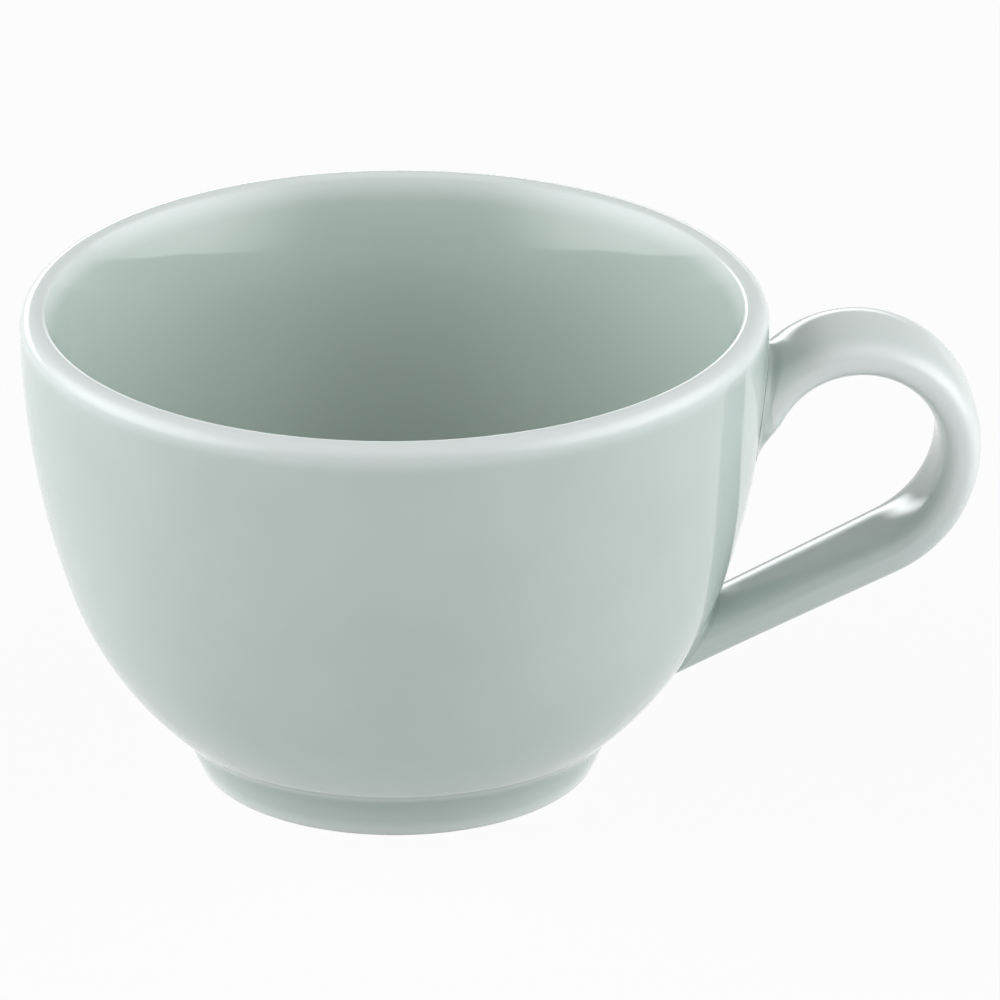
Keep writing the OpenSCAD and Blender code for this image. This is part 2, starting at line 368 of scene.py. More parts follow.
class Outline:
    """A wire in the plane of X and Z, drawn from one vertex and then turned on the cup's axis."""

    def __init__(self, name, start):
        bpy.ops.object.select_all(action="DESELECT")
        bpy.ops.mesh.primitive_plane_add(size=MM)
        self.piece = bpy.context.object
        self.piece.name = self.piece.data.name = name
        bpy.ops.object.mode_set(mode="EDIT")
        bpy.ops.mesh.select_mode(type="VERT")
        bpy.ops.mesh.select_all(action="SELECT")
        bpy.ops.mesh.merge(type="CENTER")
        bpy.ops.transform.translate(value=in_plane(start))
        self.end = Vector(start)

    def line_to(self, place):
        """Extrudes the wire's end straight to a place."""
        step = in_plane(place) - in_plane(self.end)
        bpy.ops.mesh.extrude_region_move(TRANSFORM_OT_translate={"value": step})
        self.end = Vector(place)

    def spin(self, centre, sweep):
        """Spins the wire's end round a centre, anticlockwise where the sweep is positive."""
        steps = max(LEAST_FACETS, round(abs(math.degrees(sweep)) * FACETS_PER_DEGREE))
        bpy.ops.mesh.spin(steps=steps, angle=sweep, center=in_plane(centre), axis=(0, 1, 0))
        turned = (self.end - centre).to_3d()
        turned.rotate(Matrix.Rotation(sweep, 3, "Z"))
        self.end = centre + turned.to_2d()

    def arc_to(self, centre, place):
        """Spins the wire's end round a centre, the short way to a place."""
        old, new = self.end - centre, place - centre
        sweep = math.atan2(new.y, new.x) - math.atan2(old.y, old.x)
        self.spin(centre, math.remainder(sweep, math.tau))
        self.end = Vector(place)

    def hollow_to(self, control, place):
        """Extrudes the wire's end along a curve that both its ends' lines meet at the control."""
        start, place = Vector(self.end), Vector(place)
        for i in range(1, HOLLOW_STEPS + 1):
            s = i / HOLLOW_STEPS
            self.line_to((1 - s) ** 2 * start + 2 * s * (1 - s) * control + s**2 * place)

    def throw(self):
        """Spins the whole wire once round the cup's axis, to a closed skin."""
        bpy.ops.mesh.select_all(action="SELECT")
        bpy.ops.mesh.spin(steps=AROUND, angle=math.tau, center=(0, 0, 0), axis=(0, 0, 1))
        bpy.ops.mesh.select_all(action="SELECT")
        bpy.ops.mesh.remove_doubles(threshold=WELD)
        bpy.ops.mesh.normals_make_consistent(inside=False)
        return self.piece


def round_off(piece, ring, offset):
    """Bevels the edges of the piece, in edit mode, that lie on the ring of (radius, height)."""
    bpy.ops.mesh.select_all(action="DESELECT")
    bpy.ops.mesh.select_mode(type="EDGE")
    mesh = bmesh.from_edit_mesh(piece.data)
    for edge in mesh.edges:
        places = [Vector((v.co.xy.length, v.co.z)) for v in edge.verts]
        edge.select_set(all((place - ring).length < ON_RING for place in places))
    bmesh.update_edit_mesh(piece.data)
    bpy.ops.mesh.bevel(
        offset=offset, segments=ROUND_SEGMENTS, affect="EDGES", clamp_overlap=False
    )


def finish_piece(piece, material, slot, *nodes):
    """Smooths the piece, gives it its glaze and sets it in the frame for its CAD nodes."""
    if bpy.context.mode != "OBJECT":
        bpy.ops.object.mode_set(mode="OBJECT")
    bpy.ops.object.select_all(action="DESELECT")
    piece.select_set(True)
    bpy.context.view_layer.objects.active = piece
    bpy.ops.object.shade_smooth_by_angle(angle=SHARP)
    piece.data.materials.clear()
    piece.data.materials.append(material)
    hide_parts(*nodes)
    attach(piece, "root")


def add_node(tree, kind, inputs=None, **settings):
    """Adds a node with its settings. An input is given a value, or another node's output."""
    node = tree.nodes.new(kind)
    for name, value in settings.items():
        setattr(node, name, value)
    for name, value in (inputs or {}).items():
        if isinstance(value, bpy.types.NodeSocket):
            tree.links.new(value, node.inputs[name])
        else:
            node.inputs[name].default_value = value
    return node


def new_material(name):
    """An empty material and its node tree."""
    material = bpy.data.materials.new(name)
    material.use_nodes = True
    material.node_tree.nodes.clear()
    return material, material.node_tree


# Refraction of fired glaze and clay, the gloss of the glaze and the dryness of the clay
CERAMIC_IOR = 1.5
GLAZE_ROUGHNESS = 0.045
CLAY_ROUGHNESS = 0.85
# Width, height and strength of the glaze's slow ripples, then of its fine orange peel
GLAZE_RELIEF = [(14 * MM, 0.25 * MM, 0.35), (1.6 * MM, 0.01 * MM, 0.1)]
# Clouds of thicker glaze: their width, the noise over which they grow and their pooled colour
CLOUD_WIDTH = 22 * MM
CLOUD_NOISE = (0.3, 0.7)
CLOUD_POOLED = 0.22
# How far the surface faces out and down where its glaze is all the inside's, and where it's not
INSIDE_FACING = (-0.9, -0.4)
# Depths below the rim over which the glaze thins and a painted highlight is laid on the lip, and the
# part of the thin colour on the lip
LIP_DEPTHS = (4 * MM, 0.5 * MM)
LIP_THIN_AND_HIGHLIGHT = 0.6
# Half the height of the pale band on the fine edge, partly thin glaze and partly a painted highlight,
# and the part of the thin colour on it
EDGE_BAND = 0.6 * MM
EDGE_THIN_AND_HIGHLIGHT = 0.5
# Depth under the fine edge at which the glaze has pooled and painted shade darkens the cove, and the
# part of the pooled colour there
COVE_DEPTH = 2.2 * MM
COVE_POOLED_AND_SHADE = 0.9
# Where the pooling and the painted shade start above the table, and how far below the fine edge they
# are whole
FLANK_START = 1.5 * MM
FLANK_END = 0.5 * MM
# Heights over which the glaze on the foot thickens and the painted light bounced from the floor fades,
# and the part of the thin colour below them
FOOT_HEIGHTS = (0.3 * MM, 3 * MM)
FOOT_THIN_AND_FLOOR_LIGHT = 0.5
# Width of the strap's pale borders, partly thin glaze and partly painted light, and the parts of the
# thin colour between and on them
STRAP_BORDER = 3.5 * MM
STRAP_THIN_AND_LIGHT = (0.4, 0.72)
# Heights over which painted light from above pales the strap's upper part, and how much of that
# paleness is below them
LIT_TOP_HEIGHTS = (25 * MM, 48 * MM)
BELOW_LIT_TOP = 0.4
# Part of the pooled colour where a slip joint meets the wall: pooled glaze and painted shade in the
# crease
JOINT_POOLED_AND_SHADE = 0.7
# Width, height and strength of the grain of bare clay
GRAIN_WIDTH = 0.4 * MM
GRAIN_HEIGHT = 0.1 * MM
GRAIN_STRENGTH = 0.3
# Border of the wiped clay: the width and the reach of its waves, and its softness
BORDER_WIDTH = 3 * MM
BORDER_WANDER = 0.3 * MM
BORDER_BLUR = 0.15 * MM


def glaze_surface(tree, tint):
    """The glossy skin over a tint, with ripples too low to see but in its reflections."""
    place = add_node(tree, "ShaderNodeTexCoord").outputs["Object"]
    normal = {}
    for width, height, strength in GLAZE_RELIEF:
        waves = {"Vector": place, "Scale": 1 / width, "Detail": 1, "Roughness": 0.4}
        rise = add_node(tree, "ShaderNodeTexNoise", waves).outputs["Fac"]
        relief = {"Height": rise, "Strength": strength, "Distance": height, **normal}
        normal = {"Normal": add_node(tree, "ShaderNodeBump", relief).outputs["Normal"]}
    skin = {"Base Color": tint, "Roughness": GLAZE_ROUGHNESS, "IOR": CERAMIC_IOR, **normal}
    return add_node(tree, "ShaderNodeBsdfPrincipled", skin).outputs["BSDF"]


def tinted(tree, tint, other, value, span, parts):
    """The tint with another colour over it. The part of that colour eases from the first of two
    parts to the second while a value goes over a span."""
    ends = {
        "Value": value,
        "From Min": span[0],
        "From Max": span[1],
        "To Min": parts[0],
        "To Max": parts[1],
    }
    part = add_node(tree, "ShaderNodeMapRange", ends, interpolation_type="SMOOTHSTEP")
    layers = {"Factor": part.outputs["Result"], "A": tint, "B": (*other, 1)}
    return add_node(tree, "ShaderNodeMix", layers, data_type="RGBA").outputs["Result"]


def clouded(tree, colours, place):
    """The glaze's tint with faint clouds of thicker glaze."""
    noise = {"Vector": place, "Scale": 1 / CLOUD_WIDTH, "Detail": 3, "Roughness": 0.5}
    ends = {
        "Value": add_node(tree, "ShaderNodeTexNoise", noise).outputs["Fac"],
        "From Min": CLOUD_NOISE[0],
        "From Max": CLOUD_NOISE[1],
        "To Max": CLOUD_POOLED,
    }
    part = add_node(tree, "ShaderNodeMapRange", ends)
    layers = {"Factor": part.outputs["Result"], "A": (*colours.glaze, 1), "B": (*colours.pooled_and_shaded, 1)}
    return add_node(tree, "ShaderNodeMix", layers, data_type="RGBA").outputs["Result"]


def pooled_and_shaded_in_cove(tree, colours, bowl, height, tint):
    """The tint, deeper in the cove under the fine edge and less so down the foot's flank: glaze pooled
    in the hollow, with painted shade there.
    """
    edge = bowl.edge_height
    ends = {
        "Value": height,
        "From Min": FLANK_START,
        "From Max": edge - FLANK_END,
        "To Max": COVE_POOLED_AND_SHADE,
    }
    deepest = add_node(tree, "ShaderNodeMapRange", ends, interpolation_type="SMOOTHSTEP")
    parts = (deepest.outputs["Result"], 0)
    return tinted(tree, tint, colours.pooled_and_shaded, height, (edge - COVE_DEPTH, edge), parts)


def level_part(tree, place):
    """The part of a place that points away from the cup's axis."""
    node = add_node(tree, "ShaderNodeVectorMath", {0: place, 1: (1, 1, 0)}, operation="MULTIPLY")
    return node.outputs["Vector"]


def bowl_glaze(colours, bowl):
    """Celadon glaze, poured inside and dipped outside: deeper inside and in the cove, where it gathers
    and painted shade is laid, and pale over the lip and the fine edge, where it runs thin and a
    painted highlight is laid."""
    material, tree = new_material("Celadon Glaze Dipped")
    place = add_node(tree, "ShaderNodeTexCoord").outputs["Object"]
    height = add_node(tree, "ShaderNodeSeparateXYZ", {"Vector": place}).outputs["Z"]
    # How much the surface faces outward and down, below zero on the inside and its floor
    outward = add_node(
        tree, "ShaderNodeVectorMath", {0: level_part(tree, place)}, operation="NORMALIZE"
    ).outputs["Vector"]
    out_and_down = add_node(
        tree, "ShaderNodeVectorMath", {0: outward, 1: (0, 0, -1)}, operation="ADD"
    ).outputs["Vector"]
    normal = add_node(tree, "ShaderNodeNewGeometry").outputs["Normal"]
    facing = add_node(
        tree, "ShaderNodeVectorMath", {0: out_and_down, 1: normal}, operation="DOT_PRODUCT"
    ).outputs["Value"]
    tint = clouded(tree, colours, place)
    tint = tinted(tree, tint, colours.inside, facing, INSIDE_FACING, (1, 0))
    # Darker in the cove: pooled glaze and painted shade
    tint = pooled_and_shaded_in_cove(tree, colours, bowl, height, tint)
    # A pale band on the fine edge: thin glaze and a painted highlight
    from_edge = add_node(
        tree, "ShaderNodeMath", {0: height, 1: bowl.edge_height}, operation="SUBTRACT"
    )
    near_edge = add_node(
        tree, "ShaderNodeMath", {0: from_edge.outputs["Value"]}, operation="ABSOLUTE"
    ).outputs["Value"]
    tint = tinted(tree, tint, colours.thin_and_lit, near_edge, (0, EDGE_BAND), (EDGE_THIN_AND_HIGHLIGHT, 0))
    # Paler lip: thin glaze and a painted highlight
    lip = [bowl.height - depth for depth in LIP_DEPTHS]
    tint = tinted(tree, tint, colours.thin_and_lit, height, lip, (0, LIP_THIN_AND_HIGHLIGHT))
    add_node(tree, "ShaderNodeOutputMaterial", {"Surface": glaze_surface(tree, tint)})
    return material


def strap_tint(tree, colours, handle, place):
    """The clouded tint, paler on the strap's two borders, where the glaze runs thin and painted light
    is laid, and paler higher up, where painted light from above is laid."""
    split = add_node(tree, "ShaderNodeSeparateXYZ", {"Vector": place}).outputs
    side = add_node(tree, "ShaderNodeMath", {0: split["Y"]}, operation="ABSOLUTE")
    half = handle.width / 2
    # Pale borders: thin glaze and painted light
    ends = {
        "Value": side.outputs["Value"],
        "From Min": half - STRAP_BORDER,
        "From Max": half,
        "To Min": STRAP_THIN_AND_LIGHT[0],
        "To Max": STRAP_THIN_AND_LIGHT[1],
    }
    thin_and_lit = add_node(tree, "ShaderNodeMapRange", ends, interpolation_type="SMOOTHSTEP")
    thin_and_lit = thin_and_lit.outputs["Result"]
    # Paler higher up on the strap: painted light from above
    low = add_node(tree, "ShaderNodeMath", {0: thin_and_lit, 1: BELOW_LIT_TOP}, operation="MULTIPLY")
    parts = (low.outputs["Value"], thin_and_lit)
    tint = clouded(tree, colours, place)
    return tinted(tree, tint, colours.thin_and_lit, split["Z"], LIT_TOP_HEIGHTS, parts)


def strap_glaze(colours, handle):
    """Celadon glaze, dipped: pale over the strap's two borders, where it runs thin and painted light
    is laid.
    """
    material, tree = new_material("Celadon Glaze On Strap")
    place = add_node(tree, "ShaderNodeTexCoord").outputs["Object"]
    surface = glaze_surface(tree, strap_tint(tree, colours, handle, place))
    add_node(tree, "ShaderNodeOutputMaterial", {"Surface": surface})
    return material


def joint_glaze(name, colours, handle, centre, radius, leg):
    """Celadon glaze that gathers in the hollow of a joint, with painted shade in that crease, deepest
    along the bowl's wall, which is an arc of the given centre and radius turned round the axis."""
    material, tree = new_material(name)
    place = add_node(tree, "ShaderNodeTexCoord").outputs["Object"]
    height = add_node(tree, "ShaderNodeSeparateXYZ", {"Vector": place}).outputs["Z"]
    reach = add_node(
        tree, "ShaderNodeVectorMath", {0: level_part(tree, place)}, operation="LENGTH"
    ).outputs["Value"]
    section = add_node(
        tree, "ShaderNodeCombineXYZ", {"X": reach, "Y": height}
    ).outputs["Vector"]
    from_centre = add_node(
        tree, "ShaderNodeVectorMath", {0: section, 1: (*centre, 0)}, operation="DISTANCE"
    ).outputs["Value"]
    off_wall = add_node(
        tree, "ShaderNodeMath", {0: from_centre, 1: radius}, operation="SUBTRACT"
    ).outputs["Value"]
    tint = strap_tint(tree, colours, handle, place)
    # Darker along the wall: pooled glaze and painted shade in the crease
    tint = tinted(tree, tint, colours.pooled_and_shaded, off_wall, (0, leg), (JOINT_POOLED_AND_SHADE, 0))
    add_node(tree, "ShaderNodeOutputMaterial", {"Surface": glaze_surface(tree, tint)})
    return material


def foot_glaze(colours, foot, bowl):
    """Celadon glaze that thins towards the table, where painted light bounced from the floor also
    pales it, with the fired clay left bare and dry where the foot is wiped to stand."""
    material, tree = new_material("Celadon Glaze Wiped Foot")
    place = add_node(tree, "ShaderNodeTexCoord").outputs["Object"]
    height = add_node(tree, "ShaderNodeSeparateXYZ", {"Vector": place}).outputs["Z"]
    waves = {"Vector": place, "Scale": 1 / BORDER_WIDTH, "Detail": 2}
    wander = add_node(tree, "ShaderNodeTexNoise", waves)
    line = add_node(
        tree,
        "ShaderNodeMath",
        {0: wander.outputs["Fac"], 1: BORDER_WANDER, 2: height},
        operation="MULTIPLY_ADD",
    )
    ends = {
        "Value": line.outputs["Value"],
        "From Min": foot.bare_height,
        "From Max": foot.bare_height + BORDER_BLUR,
        "To Min": 1,
        "To Max": 0,
    }
    bare = add_node(tree, "ShaderNodeMapRange", ends)
    grains = {"Vector": place, "Scale": 1 / GRAIN_WIDTH, "Detail": 3}
    relief = {
        "Height": add_node(tree, "ShaderNodeTexNoise", grains).outputs["Fac"],
        "Strength": GRAIN_STRENGTH,
        "Distance": GRAIN_HEIGHT,
    }
    skin = {
        "Base Color": (*colours.clay, 1),
        "Roughness": CLAY_ROUGHNESS,
        "IOR": CERAMIC_IOR,
        "Normal": add_node(tree, "ShaderNodeBump", relief).outputs["Normal"],
    }
    clay = add_node(tree, "ShaderNodeBsdfPrincipled", skin)
    # Darker in the cove: pooled glaze and painted shade
    tint = pooled_and_shaded_in_cove(tree, colours, bowl, height, clouded(tree, colours, place))
    # Paler towards the table: thinner glaze and painted light bounced from the floor
    tint = tinted(tree, tint, colours.thin_and_lit, height, FOOT_HEIGHTS, (FOOT_THIN_AND_FLOOR_LIGHT, 0))
    surface = add_node(
        tree,
        "ShaderNodeMixShader",
        {0: bare.outputs["Result"], 1: glaze_surface(tree, tint), 2: clay.outputs["BSDF"]},
    )
    add_node(tree, "ShaderNodeOutputMaterial", {"Surface": surface.outputs["Shader"]})
    return material


class CUP_OT_bowl(bpy.types.Operator):
    """Model the bowl: its outline is drawn with spins and thrown round the axis"""

    bl_idname = "cup.bowl"
    bl_label = "Bowl"
    bl_options = {"REGISTER", "UNDO"}

    def execute(self, context):
        settings = context.scene.cup
        wall = Wall(settings.bowl, settings.foot)
        outline = Outline("thrown_bowl", (0, settings.foot.height))
        outline.line_to(wall.foot_top)
        outline.hollow_to(wall.cove_control, wall.edge)
        outline.arc_to(wall.belly_centre, wall.turn)
        outline.arc_to(wall.upper_centre, Vector((settings.bowl.rim, wall.lip_height)))
        outline.arc_to(wall.lip_centre, wall.lip_top)
        outline.arc_to(wall.lip_inner, wall.flare_top)
        outline.arc_to(wall.flare_centre, wall.flare_end)
        outline.arc_to(wall.upper_centre, wall.inner_turn)
        outline.arc_to(wall.inner_centre, wall.floor_edge)
        outline.line_to((0, wall.floor_height))
        bowl = outline.throw()
        round_off(bowl, wall.edge, settings.bowl.edge_round)
        finish_piece(bowl, bowl_glaze(settings.colours, settings.bowl), "bowl", "bowl")
        return {"FINISHED"}


class CUP_OT_foot_ring(bpy.types.Operator):
    """Model the foot ring, with a round hollow where it meets the bowl's underside"""

    bl_idname = "cup.foot_ring"
    bl_label = "Foot Ring"
    bl_options = {"REGISTER", "UNDO"}

    def execute(self, context):
        settings = context.scene.cup
        foot = settings.foot
        top = Vector((foot.top_radius, foot.height))
        outer_base = Vector((foot.base_radius, 0))
        inner_base = Vector((foot.base_radius - foot.base_width, 0))
        inner_top = Vector((foot.top_radius - foot.top_width, foot.height))
        up = (inner_top - inner_base).normalized()
        inward = Vector((-up.y, up.x))
        climb = (foot.height - foot.well_round * (1 + inward.y)) / up.y
        well_start = inner_base + climb * up
        well_centre = well_start + foot.well_round * inward
        outline = Outline("turned_foot_ring", top)
        outline.line_to(outer_base)
        outline.line_to(inner_base)
        outline.line_to(well_start)
        outline.arc_to(well_centre, Vector((well_centre.x, foot.height)))
        outline.line_to(top)
        ring = outline.throw()
        round_off(ring, outer_base, foot.edge_round)
        round_off(ring, inner_base, foot.edge_round)
        finish_piece(ring, foot_glaze(settings.colours, foot, settings.bowl), "foot_ring", "foot_ring")
        return {"FINISHED"}


# Segments on each quarter of the strap's section, and the longest step along the strap
SECTION_SEGMENTS = 16
STRAP_STEP = 0.8 * MM
# How much smaller than the bowl the core is that the strap is cut with, so its ends are buried
CORE_SHRINK = 0.993


def strap_body(strap, handle):
    """The strap before it is trimmed: its section carried along the middle line by extrusion."""
    bpy.ops.object.select_all(action="DESELECT")
    bpy.ops.mesh.primitive_plane_add(size=2)
    piece = bpy.context.object
    piece.name = piece.data.name = "strap_handle"
    bpy.ops.object.mode_set(mode="EDIT")
    bpy.ops.mesh.select_mode(type="VERT")
    bpy.ops.mesh.select_all(action="SELECT")
    # Corners that are bevelled until they meet make the square a superellipse
    bpy.ops.mesh.bevel(
        affect="VERTICES",
        offset=1,
        segments=SECTION_SEGMENTS,
        profile=2 ** (-2 / handle.fullness),
    )
    bpy.ops.mesh.select_all(action="SELECT")
    bpy.ops.mesh.remove_doubles(threshold=WELD)
    bpy.ops.transform.resize(value=(handle.thickness / 2, strap.half_width(0), 1))
    place, way = strap.middle(0)
    bpy.ops.transform.rotate(
        value=way + math.pi / 2, orient_axis="Y", center_override=(0, 0, 0)
    )
    bpy.ops.transform.translate(value=in_plane(place))
    steps = math.ceil(strap.end / STRAP_STEP)
    for i in range(1, steps + 1):
        at = strap.end * i / steps
        new_place, new_way = strap.middle(at)
        narrowed = strap.half_width(at) / strap.half_width(strap.end * (i - 1) / steps)
        bpy.ops.mesh.extrude_region_move(
            TRANSFORM_OT_translate={"value": in_plane(new_place) - in_plane(place)}
        )
        if new_way != way:
            bpy.ops.transform.rotate(
                value=new_way - way, orient_axis="Y", center_override=in_plane(new_place)
            )
        if narrowed != 1:
            bpy.ops.transform.resize(value=(1, narrowed, 1))
        place, way = new_place, new_way
    bpy.ops.mesh.select_all(action="SELECT")
    bpy.ops.mesh.normals_make_consistent(inside=False)
    bpy.ops.object.mode_set(mode="OBJECT")
    return piece


def wall_core(wall, bowl):
    """A solid with the bowl's outside, a little smaller, to trim the strap with."""
    core = Outline("core", (0, wall.edge.y / 2))
    core.line_to((wall.edge.x, wall.edge.y / 2))
    core.line_to(wall.edge)
    core.arc_to(wall.belly_centre, wall.turn)
    core.arc_to(wall.upper_centre, Vector((bowl.rim, wall.lip_height)))
    core.line_to((0, wall.lip_height))
    piece = core.throw()
    bpy.ops.transform.resize(value=(CORE_SHRINK, CORE_SHRINK, 1), center_override=(0, 0, 0))
    bpy.ops.object.mode_set(mode="OBJECT")
    return piece


class CUP_OT_handle(bpy.types.Operator):
    """Model the handle: a strap swept by extrusion and trimmed to the bowl's wall"""

    bl_idname = "cup.handle"
    bl_label = "Handle"
    bl_options = {"REGISTER", "UNDO"}

    def execute(self, context):
        settings = context.scene.cup
        wall = Wall(settings.bowl, settings.foot)
        strap = Strap(wall, settings.handle)
        piece = strap_body(strap, settings.handle)
        core = wall_core(wall, settings.bowl)
        trim = piece.modifiers.new("Trim", "BOOLEAN")
        trim.operation = "DIFFERENCE"
        trim.solver = "EXACT"
        trim.object = core
        bpy.context.view_layer.objects.active = piece
        bpy.ops.object.modifier_apply(modifier=trim.name)
        bpy.data.objects.remove(core)
        finish_piece(piece, strap_glaze(settings.colours, settings.handle), "handle", "handle")
        return {"FINISHED"}


# Points round a fillet of slip, steps over its hollow and steps along its leg on the strap
SLIP_AROUND = 128
SLIP_STEPS = 16
SLIP_LEG_STEPS = 4


def slip_rings(strap, wall, leg, upper):
    """Rings of points along a fillet's leg on the strap, then over its hollow to the wall."""
    rings = [[] for _ in range(SLIP_LEG_STEPS + SLIP_STEPS + 1)]
    along = leg if upper else -leg
    for j in range(SLIP_AROUND):
        turn = math.tau * j / SLIP_AROUND
        seam_at = strap.meets(wall, turn, upper)
        seam = strap.point(seam_at, turn)
        away = strap.point(strap.meets(wall, turn, upper, leg), turn, leg) - seam
        lift = wall.nearest(seam + leg * away.normalized()) - seam
        for i in range(SLIP_LEG_STEPS):
            rings[i].append(strap.point(seam_at + along * i / SLIP_LEG_STEPS, turn))
        for i in range(SLIP_STEPS + 1):
            s = i / SLIP_STEPS
            on_strap = strap.point(seam_at + along * (1 - s) ** 2, turn)
            rings[SLIP_LEG_STEPS + i].append(on_strap + s**2 * lift)
    return rings


class CUP_OT_slip_joints(bpy.types.Operator):
    """Model the fillets of slip that join the strap's two ends to the wall"""

    bl_idname = "cup.slip_joints"
    bl_label = "Slip Joints"
    bl_options = {"REGISTER", "UNDO"}

    def execute(self, context):
        settings = context.scene.cup
        wall = Wall(settings.bowl, settings.foot)
        strap = Strap(wall, settings.handle)
        # Each joint: whether it is the upper one, its name, its glaze and the wall's arc there
        joints = [
            (True, "upper_slip", "Celadon Glaze At Root", wall.upper_centre, wall.upper_radius),
            (False, "lower_slip", "Celadon Glaze At Landing", wall.belly_centre, wall.belly_radius),
        ]
        leg = settings.slip.leg
        for upper, name, glaze, centre, radius in joints:
            material = joint_glaze(glaze, settings.colours, settings.handle, centre, radius, leg)
            # No mesh tool keeps to two curved skins at once, so these rings are worked out
            rings = slip_rings(strap, wall, leg, upper)
            faces = []
            for i in range(len(rings)):
                here, there = i * SLIP_AROUND, (i + 1) % len(rings) * SLIP_AROUND
                for j in range(SLIP_AROUND):
                    k = (j + 1) % SLIP_AROUND
                    faces.append((here + j, here + k, there + k, there + j))
            mesh = bpy.data.meshes.new(name)
            mesh.from_pydata([place for ring in rings for place in ring], [], faces)
            piece = bpy.data.objects.new(name, mesh)
            context.scene.collection.objects.link(piece)
            bpy.ops.object.select_all(action="DESELECT")
            bpy.context.view_layer.objects.active = piece
            piece.select_set(True)
            bpy.ops.object.mode_set(mode="EDIT")
            bpy.ops.mesh.select_all(action="SELECT")
            bpy.ops.mesh.normals_make_consistent(inside=False)
            finish_piece(piece, material, "slip_joints", name + "_joint")
        return {"FINISHED"}


# The camera that took the cup: how far it stood from the cup's axis, how steeply it looked
# down, how far it rolled, and how far the handle pointed away from it
CAMERA_DISTANCE = 1500 * MM
CAMERA_FALL = math.radians(23.423)
CAMERA_ROLL = math.radians(-0.1917)
HANDLE_AWAY = math.radians(2.85)
# Side of the image, pixels to a metre at the cup, and the pixel of the point on the axis at
# half height that the camera's distance is measured from
IMAGE_SIDE = 1000
PIXELS_PER_METRE = 7441.4
AXIS_PIXEL = (386.905, 529.211)
AXIS_HEIGHT = 33 * MM

# Each soft box: name, azimuth round the cup from the camera's side towards its right,
# elevation, width, height, the radiance at its middle, which fades to its edge, and whether
# it lights the cup or is only seen in its glaze
SOFT_BOXES = [
    ("left soft box", -84, 24, 2.2, 1.45, 3.6, True),
    ("right soft box", 78, 24, 2.2, 1.45, 3.45, True),
    ("back strip", -160, 8, 1.7, 0.3, 4.4, False),
]
# How far the soft boxes stand from the cup's middle
SOFT_BOX_DISTANCE = 0.9
# Glow of the tent's walls and of its top, as it lights matt surfaces, and the upward share of a
# ray's way at which the walls start to darken towards the top
WALL_GLOW = 0.6
TOP_GLOW = 0.15
TOP_FROM_SHARE = 0.4
# Glow that reflections see where the tent is open, on the camera's side, and the share of a
# ray's way along Y where it is wholly open and where it is wholly closed
OPEN_GLOW = 0.15
OPEN_SHARES = (-0.9, -0.4)
# The floor: its radius, its sides and how white it looks to the camera and in reflections
FLOOR_RADIUS = 6
FLOOR_SIDES = 64
FLOOR_WHITE = 0.94
# Nearest and farthest distance that the camera sees
CAMERA_CLIP = (10 * MM, 20)


def camera_place():
    """The camera's place and its right, up and backward axes, in the row frame."""
    focal = PIXELS_PER_METRE * CAMERA_DISTANCE
    middle = IMAGE_SIDE / 2
    yaw = math.atan((middle - AXIS_PIXEL[0]) / focal)
    pitch = CAMERA_FALL + math.atan((middle - AXIS_PIXEL[1]) / focal)
    place = Vector((0, -math.cos(CAMERA_FALL), math.sin(CAMERA_FALL))) * CAMERA_DISTANCE
    place.z += AXIS_HEIGHT
    ahead = Vector(
        (math.sin(yaw) * math.cos(pitch), math.cos(yaw) * math.cos(pitch), -math.sin(pitch))
    )
    right = Vector((math.cos(yaw), -math.sin(yaw), 0))
    up = right.cross(ahead)
    rolled_right = math.cos(CAMERA_ROLL) * right + math.sin(CAMERA_ROLL) * up
    rolled_up = math.cos(CAMERA_ROLL) * up - math.sin(CAMERA_ROLL) * right
    around = Matrix.Rotation(-HANDLE_AWAY, 3, "Z")
    return [around @ v for v in (place, rolled_right, rolled_up, -ahead)]


def fade_to_edge(lamp, cloth_colour):
    """Makes a soft box bright in the middle and dark at its edge, as its cloth is."""
    lamp.use_nodes = True
    tree = lamp.node_tree
    tree.nodes.clear()
    across = add_node(tree, "ShaderNodeNewGeometry").outputs["Parametric"]
    from_middle = add_node(
        tree,
        "ShaderNodeVectorMath",
        {0: across, 1: (2, 2, 0), 2: (-1, -1, 0)},
        operation="MULTIPLY_ADD",
    )
    ball = add_node(
        tree,
        "ShaderNodeTexGradient",
        {"Vector": from_middle.outputs["Vector"]},
        gradient_type="SPHERICAL",
    )
    fade = add_node(
        tree, "ShaderNodeMapRange", {"Value": ball.outputs["Fac"]}, interpolation_type="SMOOTHSTEP"
    )
    cloth = add_node(
        tree,
        "ShaderNodeEmission",
        {"Color": (*cloth_colour, 1), "Strength": fade.outputs["Result"]},
    )
    add_node(tree, "ShaderNodeOutputLight", {"Surface": cloth.outputs["Emission"]})


def paper_floor(settings):
    """Matt pale paper, seen nearly white with the cup's shadow, and clear from below."""
    material, tree = new_material("Matt Paper Floor")
    paper = add_node(tree, "ShaderNodeBsdfDiffuse", {"Color": (*settings.floor, 1)})
    white = add_node(tree, "ShaderNodeEmission", {"Strength": 1})
    path = add_node(tree, "ShaderNodeLightPath").outputs
    seen = add_node(
        tree,
        "ShaderNodeMath",
        {0: path["Is Camera Ray"], 1: path["Is Glossy Ray"]},
        operation="MAXIMUM",
    )
    part = add_node(
        tree, "ShaderNodeMath", {0: seen.outputs["Value"], 1: FLOOR_WHITE}, operation="MULTIPLY"
    )
    ground = add_node(
        tree,
        "ShaderNodeMixShader",
        {0: part.outputs["Value"], 1: paper.outputs["BSDF"], 2: white.outputs["Emission"]},
    )
    below = add_node(tree, "ShaderNodeNewGeometry").outputs["Backfacing"]
    clear = add_node(tree, "ShaderNodeBsdfTransparent")
    surface = add_node(
        tree,
        "ShaderNodeMixShader",
        {0: below, 1: ground.outputs["Shader"], 2: clear.outputs["BSDF"]},
    )
    add_node(tree, "ShaderNodeOutputMaterial", {"Surface": surface.outputs["Shader"]})
    return material


